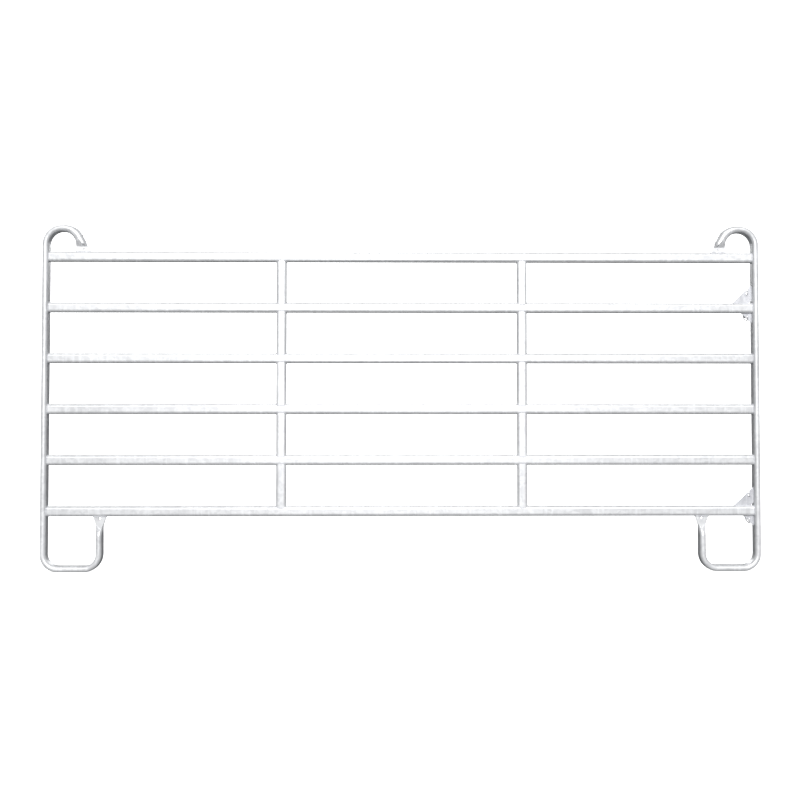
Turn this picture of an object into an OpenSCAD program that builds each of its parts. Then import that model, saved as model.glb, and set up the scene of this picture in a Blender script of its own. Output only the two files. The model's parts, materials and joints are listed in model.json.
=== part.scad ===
// Livestock panel gate: six rails and two strut columns welded between two bent side tubes,
// with a chain closure above and below on the right post.
// X runs along the panel, Y through it (the front faces -Y), Z up from the ground.
// The origin is on the ground, midway between the posts.

/* [Panel] */
// Overall length over both posts
panel_length = 3530; // [2400:10:4200]
// Height of the bottom rail's centre above the ground
bottom_rail_height = 295; // [280:5:400]
// Distance between rail centres
rail_pitch = 250; // [240:5:300]
// Distance from the middle of the panel to each strut column
strut_offset = 593; // [300:5:800]

/* [Tube] */
// Wide side of the flat-sided oval tube
tube_wide = 50; // [44:1:56]
// Narrow side of the tube
tube_narrow = 30; // [26:1:32]
// Wall thickness of the tube
tube_wall = 2; // [1.5:0.5:3]

/* [Side tubes] */
// Centreline radius of the lifting loop
loop_radius = 80; // [75:1:90]
// Height of the loop's highest point above the top rail's upper edge
loop_rise = 130; // [120:1:140]
// Centreline radius of the foot's two bends
foot_radius = 72; // [60:1:80]
// Distance from the post's centreline to the centreline of the foot's free leg
foot_width = 272; // [220:1:320]
// Width of the squashed end of the foot
foot_tab_width = 65; // [60:1:70]
// Thickness of both squashed ends
tab_thickness = 8; // [6:0.5:10]
// Diameter of the vent hole in each squashed end
vent_hole = 12; // [8:1:14]

/* [Closures] */
// Length of the corner plate along the rail
corner_plate_length = 95; // [85:1:110]
// Height of the corner plate up the post
corner_plate_height = 90; // [85:1:110]
// Width of the slot that holds a chain link
slot_width = 8; // [7:0.5:9]
// Both legs of the small eye plate under the rail
eye_plate_leg = 50; // [46:1:56]
// Diameter of the hole in the eye plate
eye_hole = 12; // [12:0.5:14]

/* [Hidden] */
$fn = 48;
RAILS = 6;
BAYS = RAILS - 1;
LINKS = 5;
UPPER = 5; // rails that carry a closure, counted from the bottom
LOWER = 1;
half_wide = tube_wide / 2;
half_narrow = tube_narrow / 2;
post_x = panel_length / 2 - half_narrow;
post_face = post_x - half_narrow;
top_rail_height = bottom_rail_height + BAYS * rail_pitch;
weld_gap = 0.1;
cope_depth = 11; // how far a coped strut end reaches down past the rail's edge
rail_overrun = 4; // spare rail length that the post's curve cuts away

// side tubes: distances are inward from the post's centreline
loop_base = top_rail_height + half_wide;
loop_top = loop_base + loop_rise;
loop_z = loop_top - half_narrow - loop_radius;
loop_sweep = 150; // the bend keeps its full section this far round
loop_inner = 2 * loop_radius - half_narrow;
crease_rise = 27; // the tab lies flat up to this far above the rail
squash_rise = 70; // and from here up the loop is rounded again
foot_z = half_narrow;
foot_bend_z = foot_z + foot_radius;
foot_base = bottom_rail_height - half_wide;
foot_crease = foot_base - 35;
foot_squash = foot_base - 80;
vent_inset = 10;
loop_vent_in = 185;

// closures
plate_front = -0.8;
plate_thickness = 4;
corner_snip = 14;
slot_in = 22;
slot_rise = 42.8;
eye_drop = 17;

// chain: the stored chain lies in one upright plane through the eye and the slot
wire = 5;
link_gap = 11;
crown = (link_gap + wire) / 2;
crown_span = 26;
link_span = crown_span + 2 * crown;
seat = (link_gap - wire) / 2 - 0.3;

steel = "gainsboro";
zinc = "silver";

function rail_z(i) = bottom_rail_height + (i - 1) * rail_pitch;

// direction in the YZ plane, in degrees from +Y towards +Z
function dir(a) = [cos(a), sin(a)];

// where the chain's links are hinged, as [y, z] from the rail's lower edge
eye_1 = [plate_front + plate_thickness / 2, -26.5];
end_1 = eye_1 + crown_span * dir(15);
pin_2 = end_1 + seat * dir(90);
pin_3 = pin_2 + link_span * dir(90);
eye_3 = pin_3 + seat * dir(90);
pin_4 = eye_3 + (crown_span + seat) * dir(90);
eye_5 = pin_4 + link_span * dir(90) + seat * dir(150);

// flat-sided oval, narrow along its first axis, shrunk by inset all round
module oval(inset = 0) {
    flat = tube_wide - tube_narrow;
    square([tube_narrow - 2 * inset, flat], center = true);
    for (s = [-1, 1]) translate([0, s * flat / 2]) circle(half_narrow - inset);
}

// one bend in the XZ plane about the point (x, z), from angle a over a sweep
module bend(x, z, radius, a, sweep, inset) {
    translate([x, 0, z]) rotate([90, 0, 0]) rotate([0, 0, a])
        rotate_extrude(angle = sweep) translate([radius, 0]) oval(inset);
}

// the full-section run of a side tube, from the foot's free leg over the post to the loop
module side_run(inset) {
    leg_in = foot_width - foot_radius;
    translate([-foot_width, 0, foot_bend_z])
        linear_extrude(foot_squash - foot_bend_z) oval(inset);
    bend(-leg_in, foot_bend_z, foot_radius, 180, 90, inset);
    translate([-leg_in, 0, foot_z]) rotate([0, 90, 0]) linear_extrude(leg_in - foot_radius)
        oval(inset);
    bend(-foot_radius, foot_bend_z, foot_radius, 270, 90, inset);
    translate([0, 0, foot_bend_z]) linear_extrude(loop_z - foot_bend_z) oval(inset);
    bend(-loop_radius, loop_z, loop_radius, 0, loop_sweep, inset);
}

// prism through the panel from points [distance in from the post, height]
module face(points) {
    rotate([90, 0, 0]) linear_extrude(2 * tube_wide, center = true)
        polygon([for (p = points) [-p[0], p[1]]]);
}

// prism along the panel, mirrored in Y, from points [half depth, height]
module profile(points) {
    n = len(points) - 1;
    rotate([90, 0, 90]) linear_extrude(2 * panel_length, center = true)
        polygon(concat(points, [for (i = [n:-1:0]) [-points[i][0], points[i][1]]]));
}

// the foot's free leg, squashed flat where it meets the bottom rail
module foot_end(inset) {
    wide = foot_tab_width / 2 - inset;
    thin = max(tab_thickness / 2 - inset, 0.5);
    intersection() {
        face([
            [foot_width - half_narrow + inset, foot_squash],
            [foot_width - wide, foot_crease],
            [foot_width - wide, foot_base],
            [foot_width + wide, foot_base],
            [foot_width + wide, foot_crease],
            [foot_width + half_narrow - inset, foot_squash]
        ]);
        profile([
            [half_wide - inset, foot_squash],
            [thin, foot_crease],
            [thin, foot_base]
        ]);
    }
}

// the loop's free end: a rim that flares into a flat tab on the top rail
module loop_end() {
    thin = tab_thickness / 2;
    intersection() {
        face([
            [loop_radius, loop_top],
            [130, loop_top],
            [152, loop_top - 8],
            [167, loop_top - 21],
            [186, loop_base + 64],
            [203, loop_base + 35],
            [218, loop_base],
            [loop_inner, loop_base],
            [loop_inner, loop_z],
            [loop_inner - 9, loop_z + 32],
            [loop_inner - 32, loop_z + 56],
            [loop_radius, loop_top - tube_narrow]
        ]);
        profile([
            [thin, loop_base],
            [thin, loop_base + crease_rise],
            [half_wide - 13, loop_base + squash_rise],
            [half_wide - half_narrow, loop_top]
        ]);
    }
}

// the deeper middle of the same end, from the bend's full section down to the crease
module loop_throat(inset) {
    thin = tab_thickness / 2 - inset;
    intersection() {
        face([
            [loop_inner - 9 + inset, loop_z + 32],
            [loop_inner + inset, loop_z],
            [loop_inner + inset, loop_base + inset],
            [205 - inset, loop_base + inset],
            [190 - inset, loop_base + 35],
            [162 - inset, loop_z + 47]
        ]);
        profile([
            [thin, loop_base],
            [thin, loop_base + crease_rise],
            [half_wide - inset, loop_z + 47]
        ]);
    }
}

module vent(x, z) {
    translate([-x, 0, z]) rotate([90, 0, 0])
        cylinder(d = vent_hole, h = 2 * tab_thickness, center = true);
}

// one bent side tube with its post at x = 0 and the panel on the -X side
module side_tube() {
    color(steel) difference() {
        union() {
            side_run(0);
            foot_end(0);
            loop_end();
            loop_throat(0);
        }
        side_run(tube_wall);
        foot_end(tube_wall);
        loop_throat(tube_wall);
        vent(foot_width, foot_base - vent_inset);
        vent(loop_vent_in, loop_base + vent_inset);
    }
}

// rail i as a bar with its wide side upright
module rail_bar(i, inset) {
    translate([0, 0, rail_z(i)]) rotate([90, 0, 90])
        linear_extrude(2 * post_face + rail_overrun, center = true) oval(inset);
}

// a rail between the posts, its ends shaped to the posts' curve
module rail(i) {
    color(steel) difference() {
        rail_bar(i, 0);
        rail_bar(i, tube_wall);
        for (s = [-1, 1]) translate([s * post_x, 0, rail_z(i) - tube_wide])
            linear_extrude(2 * tube_wide) oval(-weld_gap);
    }
}

// the strut above rail i, its ends saddled onto both rails
module strut(side, i) {
    foot = half_wide - cope_depth;
    color(steel) difference() {
        translate([side * strut_offset, 0, rail_z(i) + foot]) rotate([0, 0, 90])
            linear_extrude(rail_pitch - 2 * foot) difference() {
                oval(0);
                oval(tube_wall);
            }
        rail_bar(i, -weld_gap);
        rail_bar(i + 1, -weld_gap);
    }
}

// upright plate against the post's inner face, from points [distance in, height above z]
module plate(z, points) {
    translate([post_face, plate_front + plate_thickness, z]) rotate([90, 0, 0])
        linear_extrude(plate_thickness) polygon([for (p = points) [-p[0], p[1]]]);
}

// corner plate on rail i, with an open slot that a chain link drops into
module latch_plate(i) {
    base = rail_z(i) + half_wide;
    color(steel) difference() {
        plate(base, [
            [corner_snip, 0],
            [corner_plate_length, 0],
            [0, corner_plate_height],
            [0, corner_snip]
        ]);
        translate([post_face - slot_in, 0, base + slot_rise]) {
            rotate([90, 0, 0])
                cylinder(d = slot_width, h = 4 * plate_thickness, center = true);
            translate([-slot_width / 2, -2 * plate_thickness, 0])
                cube([slot_width, 4 * plate_thickness, corner_plate_height]);
        }
    }
}

// eye plate under rail i, with the hole that holds the chain's first link
module eye_plate(i) {
    base = rail_z(i) - half_wide;
    color(steel) difference() {
        plate(base, [[0, 0], [eye_plate_leg, 0], [0, -eye_plate_leg]]);
        translate([post_face - slot_in, 0, base - eye_drop]) rotate([90, 0, 0])
            cylinder(d = eye_hole, h = 4 * plate_thickness, center = true);
    }
}

// a welded link lying flat and running along +Y from the centre of its first crown
module link() {
    color(zinc) {
        for (s = [-1, 1]) translate([s * crown, 0, 0]) rotate([-90, 0, 0])
            cylinder(d = wire, h = crown_span, $fn = 24);
        for (end = [0, 1]) translate([0, end * crown_span, 0]) rotate([0, 0, 180 * (1 - end)])
            rotate_extrude(angle = 180) translate([crown, 0]) circle(d = wire, $fn = 24);
    }
}

// puts a link of the closure on rail i at a hinge, running in direction a
module place(i, at, a) {
    translate([post_face - slot_in, at[0], rail_z(i) - half_wide + at[1]]) rotate([a, 0, 0])
        children();
}

// an upright link is hinged at its crown's centre, a flat one at its wire's centre
module upright_link(i, at, a) {
    place(i, at, a) rotate([0, 90, 0]) link();
}

module flat_link(i, at, a) {
    place(i, at, a) translate([0, crown, 0]) link();
}

// link k of the stored chain: back through the eye, up behind the rail, forward into the slot
module chain_link(i, k) {
    if (k == 1) upright_link(i, eye_1, 15);
    if (k == 2) flat_link(i, pin_2, 90);
    if (k == 3) upright_link(i, eye_3, 90);
    if (k == 4) flat_link(i, pin_4, 90);
    if (k == 5) upright_link(i, eye_5, 180);
}

translate([-post_x, 0, 0]) mirror([1, 0, 0]) side_tube();  // frame_left
translate([post_x, 0, 0]) side_tube();  // frame_right
for (i = [1:RAILS]) rail(i);
for (i = [1:BAYS]) strut(-1, i);
for (i = [1:BAYS]) strut(1, i);
latch_plate(UPPER);  // upper_latch_plate
latch_plate(LOWER);  // lower_latch_plate
eye_plate(UPPER);  // upper_eye_plate
eye_plate(LOWER);  // lower_eye_plate
for (k = [1:LINKS]) chain_link(UPPER, k);
for (k = [1:LINKS]) chain_link(LOWER, k);
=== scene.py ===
"""Livestock panel gate of galvanised steel: rails and struts between two bent side tubes, with
chain closures on the right post. Metres, +X along the panel, the front faces -Y, +Z up."""

import json
import math

import bpy
import numpy as np
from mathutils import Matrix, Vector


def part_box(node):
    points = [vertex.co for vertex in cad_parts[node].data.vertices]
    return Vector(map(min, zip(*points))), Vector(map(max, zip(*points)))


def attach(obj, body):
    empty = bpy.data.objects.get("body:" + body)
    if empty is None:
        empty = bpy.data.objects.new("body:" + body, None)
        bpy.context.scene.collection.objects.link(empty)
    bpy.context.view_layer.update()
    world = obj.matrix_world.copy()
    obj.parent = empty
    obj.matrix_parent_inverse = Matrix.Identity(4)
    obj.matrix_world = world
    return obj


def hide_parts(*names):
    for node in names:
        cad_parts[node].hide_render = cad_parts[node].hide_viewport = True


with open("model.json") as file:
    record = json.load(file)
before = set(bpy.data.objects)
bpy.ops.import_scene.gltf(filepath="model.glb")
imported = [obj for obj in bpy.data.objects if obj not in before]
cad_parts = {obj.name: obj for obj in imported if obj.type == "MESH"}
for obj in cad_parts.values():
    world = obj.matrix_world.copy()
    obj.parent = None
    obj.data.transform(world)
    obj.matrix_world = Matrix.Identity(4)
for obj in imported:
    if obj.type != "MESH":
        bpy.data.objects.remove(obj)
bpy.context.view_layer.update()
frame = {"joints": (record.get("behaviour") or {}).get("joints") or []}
mm = 0.001

# ---- Camera ----
# Stands in front of the panel, a little below its middle and a touch towards its left end, and
# looks slightly upwards, with the whole panel across the frame.
camera_side = -45 * mm
camera_target_side = -9 * mm
camera_height = 757 * mm
camera_distance = 3.8
camera_target_height = 840 * mm
camera_lens = 34.7
camera = bpy.data.objects.new("camera", bpy.data.cameras.new("camera"))
bpy.context.scene.collection.objects.link(camera)
camera.data.lens = camera_lens
camera.location = (camera_side, -camera_distance, camera_height)
tilt = math.atan2(camera_target_height - camera_height, camera_distance)
yaw = math.atan2(camera_side - camera_target_side, camera_distance)
camera.rotation_euler = (math.pi / 2 + tilt, 0, yaw)
bpy.context.scene.camera = camera


# ---- Galvanised finish ----
# Hot-dip zinc over steel: large pale crystals that barely show, soft grey clouds, and runs where
# the molten zinc drained. The same bath covers tubes, plates, welds and chain.
class Wire:
    """A shader socket: arithmetic on it adds Math nodes to its tree."""

    def __init__(self, tree, socket):
        self.tree = tree
        self.socket = socket

    def math(self, operation, first, second):
        node = self.tree.nodes.new("ShaderNodeMath")
        node.operation = operation
        for slot, value in zip(node.inputs, (first, second)):
            if isinstance(value, Wire):
                self.tree.links.new(value.socket, slot)
            else:
                slot.default_value = value
        return Wire(self.tree, node.outputs[0])

    def __add__(self, other):
        return self.math("ADD", self, other)

    def __mul__(self, other):
        return self.math("MULTIPLY", self, other)

    def __rsub__(self, other):
        return self.math("SUBTRACT", other, self)

    __radd__ = __add__
    __rmul__ = __mul__


class Finish:
    """A material under construction, with one method that adds any node."""

    def __init__(self, name):
        self.material = bpy.data.materials.new(name)
        self.material.use_nodes = True
        self.tree = self.material.node_tree
        self.shader = self.tree.nodes["Principled BSDF"]

    def node(self, kind, settings, inputs, output):
        """Adds a node, sets its settings first and then its inputs, and returns one output."""
        node = self.tree.nodes.new(kind)
        for key, value in settings.items():
            if key == "stops":
                for element, (place, grey) in zip(node.color_ramp.elements, value):
                    element.position = place
                    element.color = (grey, grey, grey, 1)
            else:
                setattr(node, key, value)
        for key, value in inputs.items():
            self.feed(node.inputs[key], value)
        return Wire(self.tree, node.outputs[output])

    def feed(self, socket, value):
        if isinstance(value, Wire):
            self.tree.links.new(value.socket, socket)
        else:
            socket.default_value = value

    def tint(self, factor, first, second):
        """Mixes two colours, or a colour on a wire with another."""
        node = self.tree.nodes.new("ShaderNodeMix")
        node.data_type = "RGBA"
        self.feed(node.inputs[0], factor)
        self.feed(node.inputs[6], first)
        self.feed(node.inputs[7], second)
        return Wire(self.tree, node.outputs[2])


def galvanised(name, bright, dull, crystal, rough):
    """Zinc over steel. crystal is the size of one crystal, and rough the mean roughness."""
    f = Finish(name)
    place = f.node("ShaderNodeTexCoord", {}, {}, "Object")
    cells = f.node("ShaderNodeTexVoronoi", {}, {"Vector": place, "Scale": 1 / crystal}, "Color")
    grain = f.node("ShaderNodeSeparateColor", {}, {"Color": cells}, "Red")
    clouds = f.node("ShaderNodeTexNoise", {}, {"Vector": place, "Scale": 7, "Detail": 5}, "Fac")
    drawn = f.node(
        "ShaderNodeMapping", {}, {"Vector": place, "Scale": (60, 60, 5)}, "Vector"
    )
    runs = f.node("ShaderNodeTexNoise", {}, {"Vector": drawn, "Scale": 1, "Detail": 3}, "Fac")
    streaks = f.node("ShaderNodeValToRGB", {"stops": [(0.52, 0), (0.7, 1)]}, {"Fac": runs}, 0)
    dust = f.node("ShaderNodeTexNoise", {}, {"Vector": place, "Scale": 900, "Detail": 2}, "Fac")
    shade = 0.35 * grain + 0.65 * clouds
    spread = f.node("ShaderNodeValToRGB", {"stops": [(0.3, 0), (0.75, 1)]}, {"Fac": shade}, 0)
    zinc = f.tint(spread, (*dull, 1), (*bright, 1))
    f.feed(f.shader.inputs["Base Color"], f.tint(0.3 * streaks, zinc, (0.9, 0.91, 0.93, 1)))
    f.feed(f.shader.inputs["Roughness"], rough - 0.07 + 0.1 * grain + 0.06 * clouds)
    f.feed(f.shader.inputs["Metallic"], 0.35 - 0.15 * streaks)
    height = 0.6 * dust + 0.25 * clouds + 0.4 * streaks
    bump = f.node(
        "ShaderNodeBump", {}, {"Height": height, "Strength": 0.25, "Distance": 0.3 * mm}, "Normal"
    )
    f.feed(f.shader.inputs["Normal"], bump)
    return f.material


tube_zinc = galvanised("tube_zinc", (0.74, 0.745, 0.755), (0.64, 0.645, 0.66), 14 * mm, 0.42)


# ---- Side tubes: foot, post and lifting loop ----
# Each is one length of flat-sided oval steel tube, bent three times. Its two ends are squashed flat
# in a press and welded under the bottom rail and on top of the top rail.
rail_boxes = [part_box(f"rail_{number}") for number in range(1, 7)]
rail_heights = [(low[2] + high[2]) / 2 for low, high in rail_boxes]
half_wide = (rail_boxes[0][1][2] - rail_boxes[0][0][2]) / 2
half_narrow = (rail_boxes[0][1][1] - rail_boxes[0][0][1]) / 2
side_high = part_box("frame_right")[1]
post_x = side_high[0] - half_narrow
foot_radius = 72 * mm
foot_width = 272 * mm
loop_radius = 80 * mm
loop_height = side_high[2] - half_narrow - loop_radius
tab_half = 4 * mm
foot_tab_half = 32.5 * mm
loop_tab_in = 181 * mm
loop_tab_half = 36 * mm
vent_radius = 6 * mm
vent_inset = 10 * mm
loop_vent_in = 185 * mm
least_flat = 0.3 * mm
# the squashed foot: half its width and half its depth, at distances below the rail
foot_across_at, foot_across = np.array([2, 14, 44, 88]) * mm, np.array([32.5, 29, 19, 15]) * mm
foot_deep_at, foot_deep = np.array([34, 52, 70, 92]) * mm, np.array([4, 13, 20, 25]) * mm
dent_end = 74 * mm
dent_at, dent_reach = np.array([36, 74]) * mm, [20 * mm, -9 * mm]
dent_slope = 1.5
# the loop's end: how far its outer side stands from the bend's centreline, by degrees round it,
# and half its depth as it nears the crease
loop_flare = 92
loop_outer_at = [92, 118, 140, 160, 180, 204]
loop_outer = np.array([15, 22, 27, 29, 40, 57]) * mm
loop_deep = np.array([25, 24, 23, 21, 4]) * mm
crease_rise = 27 * mm
hollow_start = 120
# the hollow's middle, half its width and its height at the crease, and how steeply its floor and
# its sides rise
hollow_in = 4 * mm
hollow_half = 17 * mm
hollow_rise = 34 * mm
hollow_lean = 0.6
hollow_slope = 2.5


def outline(half_across, half_deep, fine=1):
    """A rounded bar. One quarter runs up a short flat, round a quarter circle and along a second
    flat: each flat's length times a share, plus the radius times cos and sin. The other three
    quarters are its mirror images. fine multiplies the number of points."""
    flat = (np.arange(4 * fine) + 0.5) / (4 * fine)
    quarter = np.radians(np.linspace(0, 90, 8 * fine))
    pull_u = np.concatenate([np.ones(12 * fine), flat[::-1]])
    pull_v = np.concatenate([flat, np.ones(12 * fine)])
    turn = np.concatenate([np.zeros(4 * fine), quarter, np.full(4 * fine, np.pi / 2)])
    across = np.atleast_1d(half_across)[:, None]
    deep = np.atleast_1d(half_deep)[:, None]
    radius = np.minimum(across, deep) - least_flat
    u = (across - radius) * pull_u + radius * np.cos(turn)
    v = (deep - radius) * pull_v + radius * np.sin(turn)
    back_u, back_v = u[:, ::-1], v[:, ::-1]
    return np.stack([np.hstack([u, -back_u, -u, back_u]), np.hstack([v, back_v, -v, -back_v])], -1)


def grid_faces(rows, columns, closed):
    """Quads between neighbouring rows of a grid whose columns close on themselves."""
    last = rows if closed else rows - 1
    i, j = np.meshgrid(np.arange(last), np.arange(columns), indexing="ij")
    up, over = (i + 1) % rows, (j + 1) % columns
    corners = [i * columns + j, i * columns + over, up * columns + over, up * columns + j]
    return np.stack(corners, axis=-1).reshape(-1, 4)


def surface(name, grid, material, body, nodes=(), closed=False, sharp=40):
    """Makes a closed mesh from a grid of points. Open ends are closed by a fan of triangles to the
    middle of the end row, and the faces are turned outwards by the sign of the volume."""
    rows, columns, _ = grid.shape
    points = grid.reshape(-1, 3)
    quads = grid_faces(rows, columns, closed)
    middle = points.mean(axis=0)
    a, b, c = (points[quads[:, k]] - middle for k in range(3))
    d = points[quads[:, 3]] - middle
    volume = np.einsum("ij,ij->", a, np.cross(b, c)) + np.einsum("ij,ij->", a, np.cross(c, d))
    faces = quads.tolist()
    if not closed:
        points = np.vstack([points, grid[0].mean(axis=0), grid[-1].mean(axis=0)])
        start, end = len(points) - 2, len(points) - 1
        ring = np.arange(columns)
        after = (ring + 1) % columns
        top = (rows - 1) * columns
        faces += np.stack([after, ring, np.full(columns, start)], axis=-1).tolist()
        faces += np.stack([top + ring, top + after, np.full(columns, end)], axis=-1).tolist()
    if volume < 0:
        faces = [face[::-1] for face in faces]
    mesh = bpy.data.meshes.new(name)
    mesh.from_pydata(points.tolist(), [], faces)
    mesh.shade_smooth()
    mesh.set_sharp_from_angle(angle=math.radians(sharp))
    mesh.materials.append(material)
    piece = bpy.data.objects.new(name, mesh)
    bpy.context.scene.collection.objects.link(piece)
    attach(piece, body)
    if nodes:
        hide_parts(*nodes)
    return piece


def drill(piece, x, z, radius):
    """Cuts a round hole through a piece along Y."""
    bpy.ops.mesh.primitive_cylinder_add(
        vertices=32, radius=radius, depth=0.1, location=(x, 0, z), rotation=(math.pi / 2, 0, 0)
    )
    cutter = bpy.context.object
    cut = piece.modifiers.new("vent", "BOOLEAN")
    cut.object = cutter
    cut.solver = "EXACT"
    bpy.context.view_layer.update()
    solid = piece.evaluated_get(bpy.context.evaluated_depsgraph_get())
    drilled = bpy.data.meshes.new_from_object(solid)
    piece.modifiers.clear()
    piece.data = drilled
    piece.data.set_sharp_from_angle(angle=math.radians(40))
    bpy.data.objects.remove(cutter)


def straight(inward, heights, angle):
    """Upright stretch of the path: distances in from the post, heights and the normal's angles."""
    return np.full(len(heights), inward), heights, np.full(len(heights), np.radians(angle))


def bend(inward, height, radius, angles):
    """Stretch of the path round a centre: the radius times cos and sin of the normal's angle."""
    a = np.radians(angles)
    return inward + radius * np.cos(a), height + radius * np.sin(a), a


def side_tube_grid(side):
    """The outline carried along the bent path. The path's normal points out of the bends: it turns
    from +inward under the rail, through down and outward on the post, to up over the loop."""
    bottom, top = rail_heights[0] - half_wide, rail_heights[-1] + half_wide
    low = half_narrow + foot_radius
    path = [
        straight(foot_width, np.linspace(bottom, low, 80), 0),
        bend(foot_width - foot_radius, low, foot_radius, np.linspace(0, -90, 22)[1:]),
        bend(foot_radius, low, foot_radius, np.linspace(-90, -180, 22)),
        bend(loop_radius, loop_height, loop_radius, np.linspace(-180, -360, 121)),
        straight(2 * loop_radius, np.linspace(loop_height, top, 25)[1:], -360),
    ]
    inward, height, normal = map(np.concatenate, zip(*path))
    on_foot_leg = (inward > foot_width - mm) & (height < rail_heights[0])
    under = bottom - height
    across = np.where(on_foot_leg, np.interp(under, foot_across_at, foot_across), half_narrow)
    deep = np.where(on_foot_leg, np.interp(under, foot_deep_at, foot_deep), half_wide)
    # the loop's end grows on its outer side while its depth is pressed out of it
    round_loop = np.degrees(-normal) - 180
    down = np.degrees((loop_height - height) / loop_radius)
    along = round_loop + np.where(round_loop > 179.9, down, 0)
    crease = 180 + math.degrees((loop_height - top - crease_rise) / loop_radius)
    outer = np.interp(along, loop_outer_at, loop_outer)
    on_loop = along > loop_flare
    across = np.where(on_loop, (outer + half_narrow) / 2, across)
    deep = np.where(on_loop, np.interp(along, [100, 125, 145, crease - 8, crease], loop_deep), deep)
    shift = np.where(on_loop, (outer - half_narrow) / 2, 0)
    shape = outline(across, deep, 3)
    # under the bottom rail the flat starts as a point and widens up to the tab
    dent = np.where(on_foot_leg, np.interp(under, dent_at, dent_reach), 0)
    limit = tab_half + dent_slope * np.maximum(np.abs(shape[..., 0]) - dent[:, None], 0)
    # over the top rail a three-cornered hollow leans back down to the crease
    above = (crease - along)[:, None] * math.radians(loop_radius)
    middle = np.abs(shift[:, None] + shape[..., 0] - hollow_in)
    wall = middle - hollow_half * (1 - above / hollow_rise)
    hollow = tab_half + hollow_lean * np.maximum(above, 0) + hollow_slope * np.maximum(wall, 0)
    limit = np.where(on_loop[:, None], hollow, limit)
    dented = np.sign(shape[..., 1]) * np.minimum(np.abs(shape[..., 1]), limit)
    pressed = (on_foot_leg & (under < dent_end)) | (on_loop & (along > hollow_start))
    shape[..., 1] = np.where(pressed[:, None], dented, shape[..., 1])
    reach = shift[:, None] + shape[..., 0]
    x = side * (post_x - inward[:, None] - reach * np.cos(normal)[:, None])
    z = height[:, None] + reach * np.sin(normal)[:, None]
    return np.stack([x, shape[..., 1], np.minimum(z, side_high[2])], axis=-1)


for side, name in ((-1, "left"), (1, "right")):
    tube = surface(
        f"side_tube_{name}", side_tube_grid(side), tube_zinc, "panel",
        (f"frame_{name}",),
    )
    foot_vent = rail_heights[0] - half_wide - vent_inset
    loop_vent = rail_heights[-1] + half_wide + vent_inset
    drill(tube, side * (post_x - foot_width), foot_vent, vent_radius)
    drill(tube, side * (post_x - loop_vent_in), loop_vent, vent_radius)


# ---- Rails ----
# Six straight lengths of the same tube with the wide side upright, cut to the curve of the posts
# and welded all round. Each has its own tube-mill seam along the back.
seam_height = 0.35 * mm
seam_width = 1.6 * mm
seam_offset = 4 * mm
cope_depth = 11 * mm


def post_edge(y):
    """How far the post's inner side stands from its centreline at depth y: flat, then a circle."""
    past = np.clip(np.abs(y) - (half_wide - half_narrow), 0, half_narrow)
    return np.sqrt(half_narrow**2 - past**2)


def rail_grid(height):
    shape = outline(half_narrow, half_wide, 3)[0]
    seam = seam_height * np.exp(-((shape[:, 1] + seam_offset) / seam_width) ** 2)
    y = shape[:, 0] + np.where(shape[:, 0] > half_narrow - mm, seam, 0)
    end = post_x - post_edge(y)
    share = np.linspace(-1, 1, 9)[:, None]
    z = np.broadcast_to(height + shape[:, 1], (9, len(y)))
    return np.stack([share * end, np.broadcast_to(y, z.shape), z], axis=-1)


for number, height in enumerate(rail_heights, 1):
    surface(
        f"rail_tube_{number}", rail_grid(height), tube_zinc, "panel",
        (f"rail_{number}",),
    )


# ---- Struts ----
# Ten short lengths of the same tube, wide side along the panel. Both ends are coped like a saddle
# so that they sit over the rails' rounded edges.
def rail_edge(y):
    """How far the rail's rounded edge stands from its centreline at depth y."""
    over = np.clip(np.abs(y), 0, half_narrow)
    return half_wide - half_narrow + np.sqrt(half_narrow**2 - over**2)


def strut_grid(x, below, above):
    shape = outline(half_wide, half_narrow)[0]
    saddle = np.maximum(rail_edge(shape[:, 1]), half_wide - cope_depth)
    share = np.linspace(0, 1, 5)[:, None]
    z = (below + saddle) * (1 - share) + (above - saddle) * share
    across = np.broadcast_to(x + shape[:, 0], z.shape)
    return np.stack([across, np.broadcast_to(shape[:, 1], z.shape), z], axis=-1)


for name in ("left", "right"):
    for number in range(1, 6):
        low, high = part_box(f"strut_{name}_{number}")
        surface(
            f"strut_tube_{name}_{number}",
            strut_grid((low[0] + high[0]) / 2, rail_heights[number - 1], rail_heights[number]),
            tube_zinc, "panel", (f"strut_{name}_{number}",),
        )


# ---- Weld beads ----
# Where tube meets tube a bead of weld metal runs all round, laid as overlapping ripples and then
# dipped with everything else, so it is a little duller than the tube.
weld_zinc = galvanised("weld_zinc", (0.62, 0.625, 0.65), (0.5, 0.505, 0.535), 6 * mm, 0.5)
bead_radius = 2.6 * mm
ripple_length = 3.4 * mm
ripple_low = 0.86
ripple_swing = 0.2
bead_step = 0.9 * mm


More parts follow.
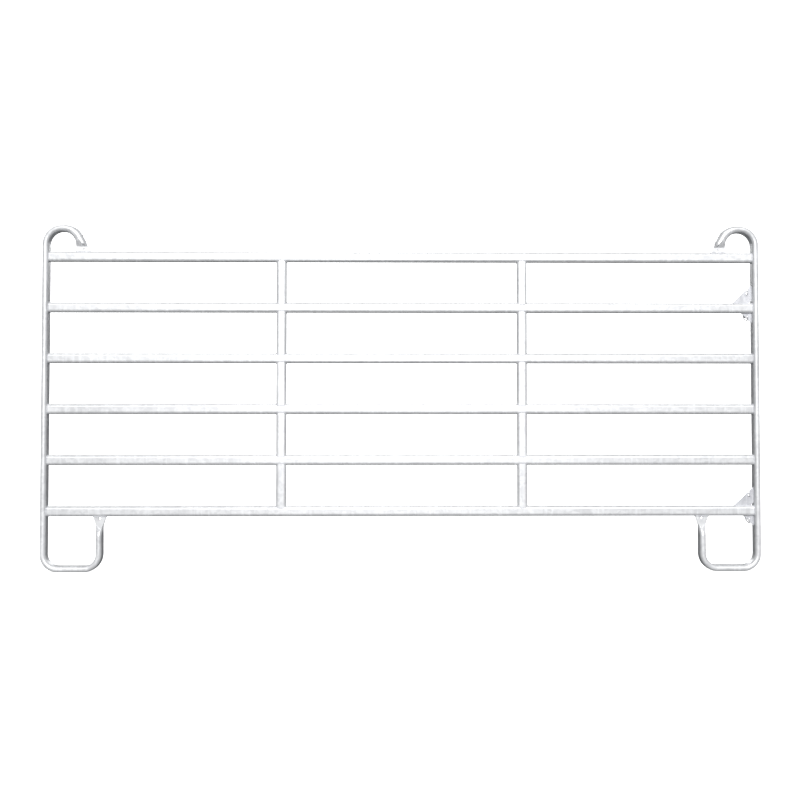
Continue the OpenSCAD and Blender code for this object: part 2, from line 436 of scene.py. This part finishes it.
def bead_grid(path, closed):
    """A round bead along a path. Its radius rises and falls like a row of overlapping scallops,
    the absolute value of a sine of the length along the path, and an open bead tapers at its
    ends."""
    ahead = np.roll(path, -1, axis=0) - np.roll(path, 1, axis=0)
    if not closed:
        ahead[0], ahead[-1] = path[1] - path[0], path[-1] - path[-2]
    ahead /= np.linalg.norm(ahead, axis=1, keepdims=True)
    steps = np.linalg.norm(np.diff(path, axis=0), axis=1)
    length = np.concatenate([[0], np.cumsum(steps)])
    whole = length[-1] + (np.linalg.norm(path[0] - path[-1]) if closed else 0)
    ripples = max(round(whole / ripple_length), 1)
    wave = np.abs(np.sin(np.pi * ripples * length / whole))
    scallop = bead_radius * (ripple_low + ripple_swing * wave)
    if not closed:
        scallop *= np.clip(np.minimum(length, whole - length) / (2 * mm) + 0.35, 0.35, 1)
    helper = np.array([0.31, 0.9, 0.29])
    first = np.cross(ahead, helper)
    first /= np.linalg.norm(first, axis=1, keepdims=True)
    second = np.cross(ahead, first)
    turn = np.arange(8) * 2 * np.pi / 8
    ring = first[:, None] * np.cos(turn)[:, None] + second[:, None] * np.sin(turn)[:, None]
    return path[:, None] + scallop[:, None, None] * ring


def resample(points, spacing, closed):
    """Points at even spacing along a line of straight pieces."""
    line = np.vstack([points, points[:1]]) if closed else points
    length = np.concatenate([[0], np.cumsum(np.linalg.norm(np.diff(line, axis=0), axis=1))])
    count = max(round(length[-1] / spacing), 6)
    at = np.linspace(0, length[-1], count + 1)[: count if closed else count + 1]
    return np.stack([np.interp(at, length, line[:, k]) for k in range(3)], axis=-1)


def bead(name, points, closed=True):
    path = resample(np.asarray(points, float), bead_step, closed)
    surface(name, bead_grid(path, closed), weld_zinc, "panel",
            closed=closed, sharp=180)


# beads sink this far into the tubes, so that no gap shows
sink = 0.8 * mm
for number, height in enumerate(rail_heights, 1):
    ring = outline(half_narrow - sink, half_wide - sink)[0]
    for side, name in ((-1, "left"), (1, "right")):
        x = side * (post_x - post_edge(ring[:, 0]) - sink)
        bead(f"post_weld_{name}_{number}", np.stack([x, ring[:, 0], height + ring[:, 1]], axis=-1))

for name in ("left", "right"):
    for number in range(1, 6):
        low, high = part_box(f"strut_{name}_{number}")
        ring = outline(half_wide - sink, half_narrow - sink)[0]
        x = (low[0] + high[0]) / 2 + ring[:, 0]
        rise = np.maximum(rail_edge(ring[:, 1]), half_wide - cope_depth) + sink
        for part, z in (
            ("foot", rail_heights[number - 1] + rise),
            ("head", rail_heights[number] - rise),
        ):
            bead(f"strut_weld_{name}_{number}_{part}", np.stack([x, ring[:, 1], z], axis=-1))

for side, name in ((-1, "left"), (1, "right")):
    for part, middle, half, z in (
        ("foot", foot_width, foot_tab_half, rail_heights[0] - half_wide),
        ("loop", loop_tab_in, loop_tab_half, rail_heights[-1] + half_wide),
    ):
        ring = outline(half, tab_half + mm)[0]
        x = side * (post_x - middle + ring[:, 0])
        bead(f"tab_weld_{name}_{part}", np.stack([x, ring[:, 1], np.full(len(x), z)], axis=-1))


# ---- Corner plates and eye plates ----
# Small plates cut from flat steel and welded into the corners of two rails and the right post.
# The upper one of each pair is slotted for a chain link, the lower one has the hole for the first.
plate_zinc = galvanised("plate_zinc", (0.63, 0.635, 0.66), (0.52, 0.525, 0.555), 9 * mm, 0.45)
slot_half = 4 * mm
corner_snip = 14 * mm
slot_in = 22 * mm
slot_rise = 42.8 * mm
eye_drop = 17 * mm
eye_radius = 6 * mm
edge_round = 0.4 * mm
plate_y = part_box("upper_latch_plate")[0][1]
plate_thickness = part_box("upper_latch_plate")[1][1] - plate_y


def flat_plate(name, outlines, node):
    """A flat outline with any holes, extruded to the plate's thickness with broken edges."""
    curve = bpy.data.curves.new(name, "CURVE")
    curve.dimensions = "2D"
    curve.fill_mode = "BOTH"
    curve.extrude = plate_thickness / 2 - edge_round
    curve.bevel_depth = edge_round
    curve.bevel_resolution = 1
    curve.offset = -edge_round
    for points in outlines:
        spline = curve.splines.new("POLY")
        spline.points.add(len(points) - 1)
        flat = np.column_stack([points, np.zeros(len(points)), np.ones(len(points))])
        spline.points.foreach_set("co", flat.ravel())
        spline.use_cyclic_u = True
    drawing = bpy.data.objects.new(name, curve)
    bpy.context.scene.collection.objects.link(drawing)
    bpy.context.view_layer.update()
    solid = drawing.evaluated_get(bpy.context.evaluated_depsgraph_get())
    mesh = bpy.data.meshes.new_from_object(solid)
    bpy.data.objects.remove(drawing)
    corners = np.empty(len(mesh.vertices) * 3)
    mesh.vertices.foreach_get("co", corners)
    corners = corners.reshape(-1, 3)
    upright = np.column_stack(
        [corners[:, 0], plate_y + plate_thickness / 2 - corners[:, 2], corners[:, 1]]
    )
    mesh.vertices.foreach_set("co", upright.ravel())
    mesh.materials.clear()
    mesh.materials.append(plate_zinc)
    mesh.set_sharp_from_angle(angle=math.radians(30))
    piece = bpy.data.objects.new(name, mesh)
    bpy.context.scene.collection.objects.link(piece)
    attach(piece, "panel")
    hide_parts(node)


def arc(x, z, radius, start, end, steps):
    """Points on a circle about (x, z), from one angle in degrees to another."""
    a = np.radians(np.linspace(start, end, steps))
    return np.stack([x + radius * np.cos(a), z + radius * np.sin(a)], axis=-1)


for level in ("upper", "lower"):
    low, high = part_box(f"{level}_latch_plate")
    length, rise = high[0] - low[0], high[2] - low[2]
    slot_x = high[0] - slot_in
    mouth = [rise * (1 - (slot_in + s * slot_half) / length) for s in (1, -1)]
    latch = np.vstack([
        [[high[0] - corner_snip, low[2]], [high[0], low[2] + corner_snip], [high[0], high[2]]],
        [[slot_x + slot_half, low[2] + mouth[1]]],
        arc(slot_x, low[2] + slot_rise, slot_half, 0, -180, 13),
        [[slot_x - slot_half, low[2] + mouth[0]], [low[0], low[2]]],
    ])
    flat_plate(f"{level}_corner_plate", [latch], f"{level}_latch_plate")
    bead(f"{level}_latch_weld_rail", [[low[0] + 4 * mm, plate_y, low[2]],
                                      [high[0] - 16 * mm, plate_y, low[2]]], closed=False)
    bead(f"{level}_latch_weld_post", [[high[0], plate_y, low[2] + 16 * mm],
                                      [high[0], plate_y, high[2] - 3 * mm]], closed=False)
    low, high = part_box(f"{level}_eye_plate")
    eye = np.array([[low[0], high[2]], [high[0], low[2]], [high[0], high[2]]])
    hole = arc(high[0] - slot_in, high[2] - eye_drop, eye_radius, 360, 0, 33)[:-1]
    flat_plate(f"{level}_eye_plate_steel", [eye, hole], f"{level}_eye_plate")
    bead(f"{level}_eye_weld_rail", [[low[0] + 4 * mm, plate_y, high[2]],
                                    [high[0] - 3 * mm, plate_y, high[2]]], closed=False)
    bead(f"{level}_eye_weld_post", [[high[0], plate_y, low[2] + 4 * mm],
                                    [high[0], plate_y, high[2] - 3 * mm]], closed=False)


# ---- Chains ----
# Five links of round steel wire on each closure. Each link is bent to shape and butt-welded in the
# middle of one leg, where the wire is a little thicker, then galvanised in the bath.
chain_zinc = galvanised("chain_zinc", (0.57, 0.575, 0.6), (0.42, 0.425, 0.45), 5 * mm, 0.42)
wire_radius = 2.5 * mm
crown_radius = 8 * mm
crown_span = 26 * mm
weld_swell = 0.06
weld_length = 3 * mm


def link_grid(middle, along, across):
    """A round wire carried round a stadium: two straight legs and two half circles. The wire swells
    by a bell curve where one leg is welded."""
    leg = np.linspace(-0.5, 0.5, 25) * crown_span
    half = np.radians(np.linspace(-90, 90, 21))[1:-1]
    u = np.concatenate([
        leg, crown_span / 2 + crown_radius * np.cos(half),
        -leg, -crown_span / 2 - crown_radius * np.cos(half),
    ])
    v = np.concatenate([
        np.full(25, -crown_radius), crown_radius * np.sin(half),
        np.full(25, crown_radius), -crown_radius * np.sin(half),
    ])
    side = np.stack([
        np.concatenate([np.zeros(25), np.cos(half), np.zeros(25), -np.cos(half)]),
        np.concatenate([-np.ones(25), np.sin(half), np.ones(25), -np.sin(half)]),
    ])
    swell = 1 + weld_swell * np.exp(-((u / weld_length) ** 2)) * (v < 0)
    turn = np.arange(16) * 2 * np.pi / 16
    radius = (wire_radius * swell)[:, None]
    out = radius * np.cos(turn)
    u = u[:, None] + out * side[0][:, None]
    v = v[:, None] + out * side[1][:, None]
    w = radius * np.sin(turn)
    normal = np.cross(along, across)
    return middle + u[..., None] * along + v[..., None] * across + w[..., None] * normal


for joint in frame["joints"]:
    body = joint["child"]
    level, number = body.split("_link_")
    node = f"{level}_chain_link_{number}"
    low, high = map(np.array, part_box(node))
    middle = (low + high) / 2
    along = middle - np.array(joint["pos_m"])
    along[0] = 0
    along /= np.linalg.norm(along)
    flat = high[0] - low[0] > 3 * wire_radius
    across = np.array([1.0, 0, 0]) if flat else np.cross([1.0, 0, 0], along)
    surface(f"{level}_link_{number}_wire", link_grid(middle, along, across), chain_zinc, body,
            (node,), closed=True, sharp=180)


# ---- Studio ----
# A white floor that curves up into a backdrop and glows evenly without lighting the panel, a high
# main light in front, a weak one near the camera, and one behind for the back. The surroundings are
# dim, so whatever looks down or sideways stays dark.
floor_front, wall_back, wall_top = -14, 8, 14
backdrop_half, backdrop_bend = 7.5, 3


def backdrop_grid():
    """A floor, a quarter circle and a wall, carried straight along X."""
    a = np.radians(np.linspace(-90, 0, 24))
    curve_y = wall_back - backdrop_bend + backdrop_bend * np.cos(a)
    y = np.concatenate([[floor_front], curve_y, [wall_back]])
    z = np.concatenate([[0], backdrop_bend + backdrop_bend * np.sin(a), [wall_top]])
    x = np.linspace(-backdrop_half, backdrop_half, 3)[:, None]
    return np.stack([np.broadcast_to(x, (3, 26)), np.broadcast_to(y, (3, 26)),
                     np.broadcast_to(z - 0.2 * mm, (3, 26))], axis=-1)


points = backdrop_grid()
rows, columns, _ = points.shape
sheet = bpy.data.meshes.new("backdrop")
i, j = np.meshgrid(np.arange(rows - 1), np.arange(columns - 1), indexing="ij")
corner = (i * columns + j).ravel()
quads = np.stack([corner, corner + columns, corner + columns + 1, corner + 1], axis=-1)
sheet.from_pydata(points.reshape(-1, 3).tolist(), [], quads.tolist())
sheet.shade_smooth()
paper = bpy.data.materials.new("backdrop_paper")
paper.use_nodes = True
paper_shader = paper.node_tree.nodes["Principled BSDF"]
paper_shader.inputs["Base Color"].default_value = (0.8, 0.8, 0.8, 1)
paper_shader.inputs["Roughness"].default_value = 0.9
paper_shader.inputs["Emission Color"].default_value = (1, 1, 1, 1)
paper_shader.inputs["Emission Strength"].default_value = 0.97
sheet.materials.append(paper)
backdrop = bpy.data.objects.new("backdrop", sheet)
bpy.context.scene.collection.objects.link(backdrop)
backdrop.visible_diffuse = False
backdrop.visible_glossy = False

world = bpy.data.worlds.new("studio")
world.use_nodes = True
world.node_tree.nodes["Background"].inputs["Color"].default_value = (0.93, 0.97, 1, 1)
world.node_tree.nodes["Background"].inputs["Strength"].default_value = 0.16
bpy.context.scene.world = world
bpy.context.scene.view_settings.view_transform = "Standard"

sun = bpy.data.lights.new("main_light", "SUN")
sun.energy = 3.7
sun.angle = math.radians(9)
main_light = bpy.data.objects.new("main_light", sun)
bpy.context.scene.collection.objects.link(main_light)
main_light.rotation_euler = (math.radians(63), 0, 0)

for name, place, lean, size, power in (
    ("front_light", (0, -8.5, 1.6), 85, 2.5, 110),
    ("back_light", (0, 6.2, 4.5), -60, 3.5, 220),
):
    lamp = bpy.data.lights.new(name, "AREA")
    lamp.size = size
    lamp.energy = power
    light = bpy.data.objects.new(name, lamp)
    bpy.context.scene.collection.objects.link(light)
    light.location = place
    light.rotation_euler = (math.radians(lean), 0, 0)
    light.visible_camera = False
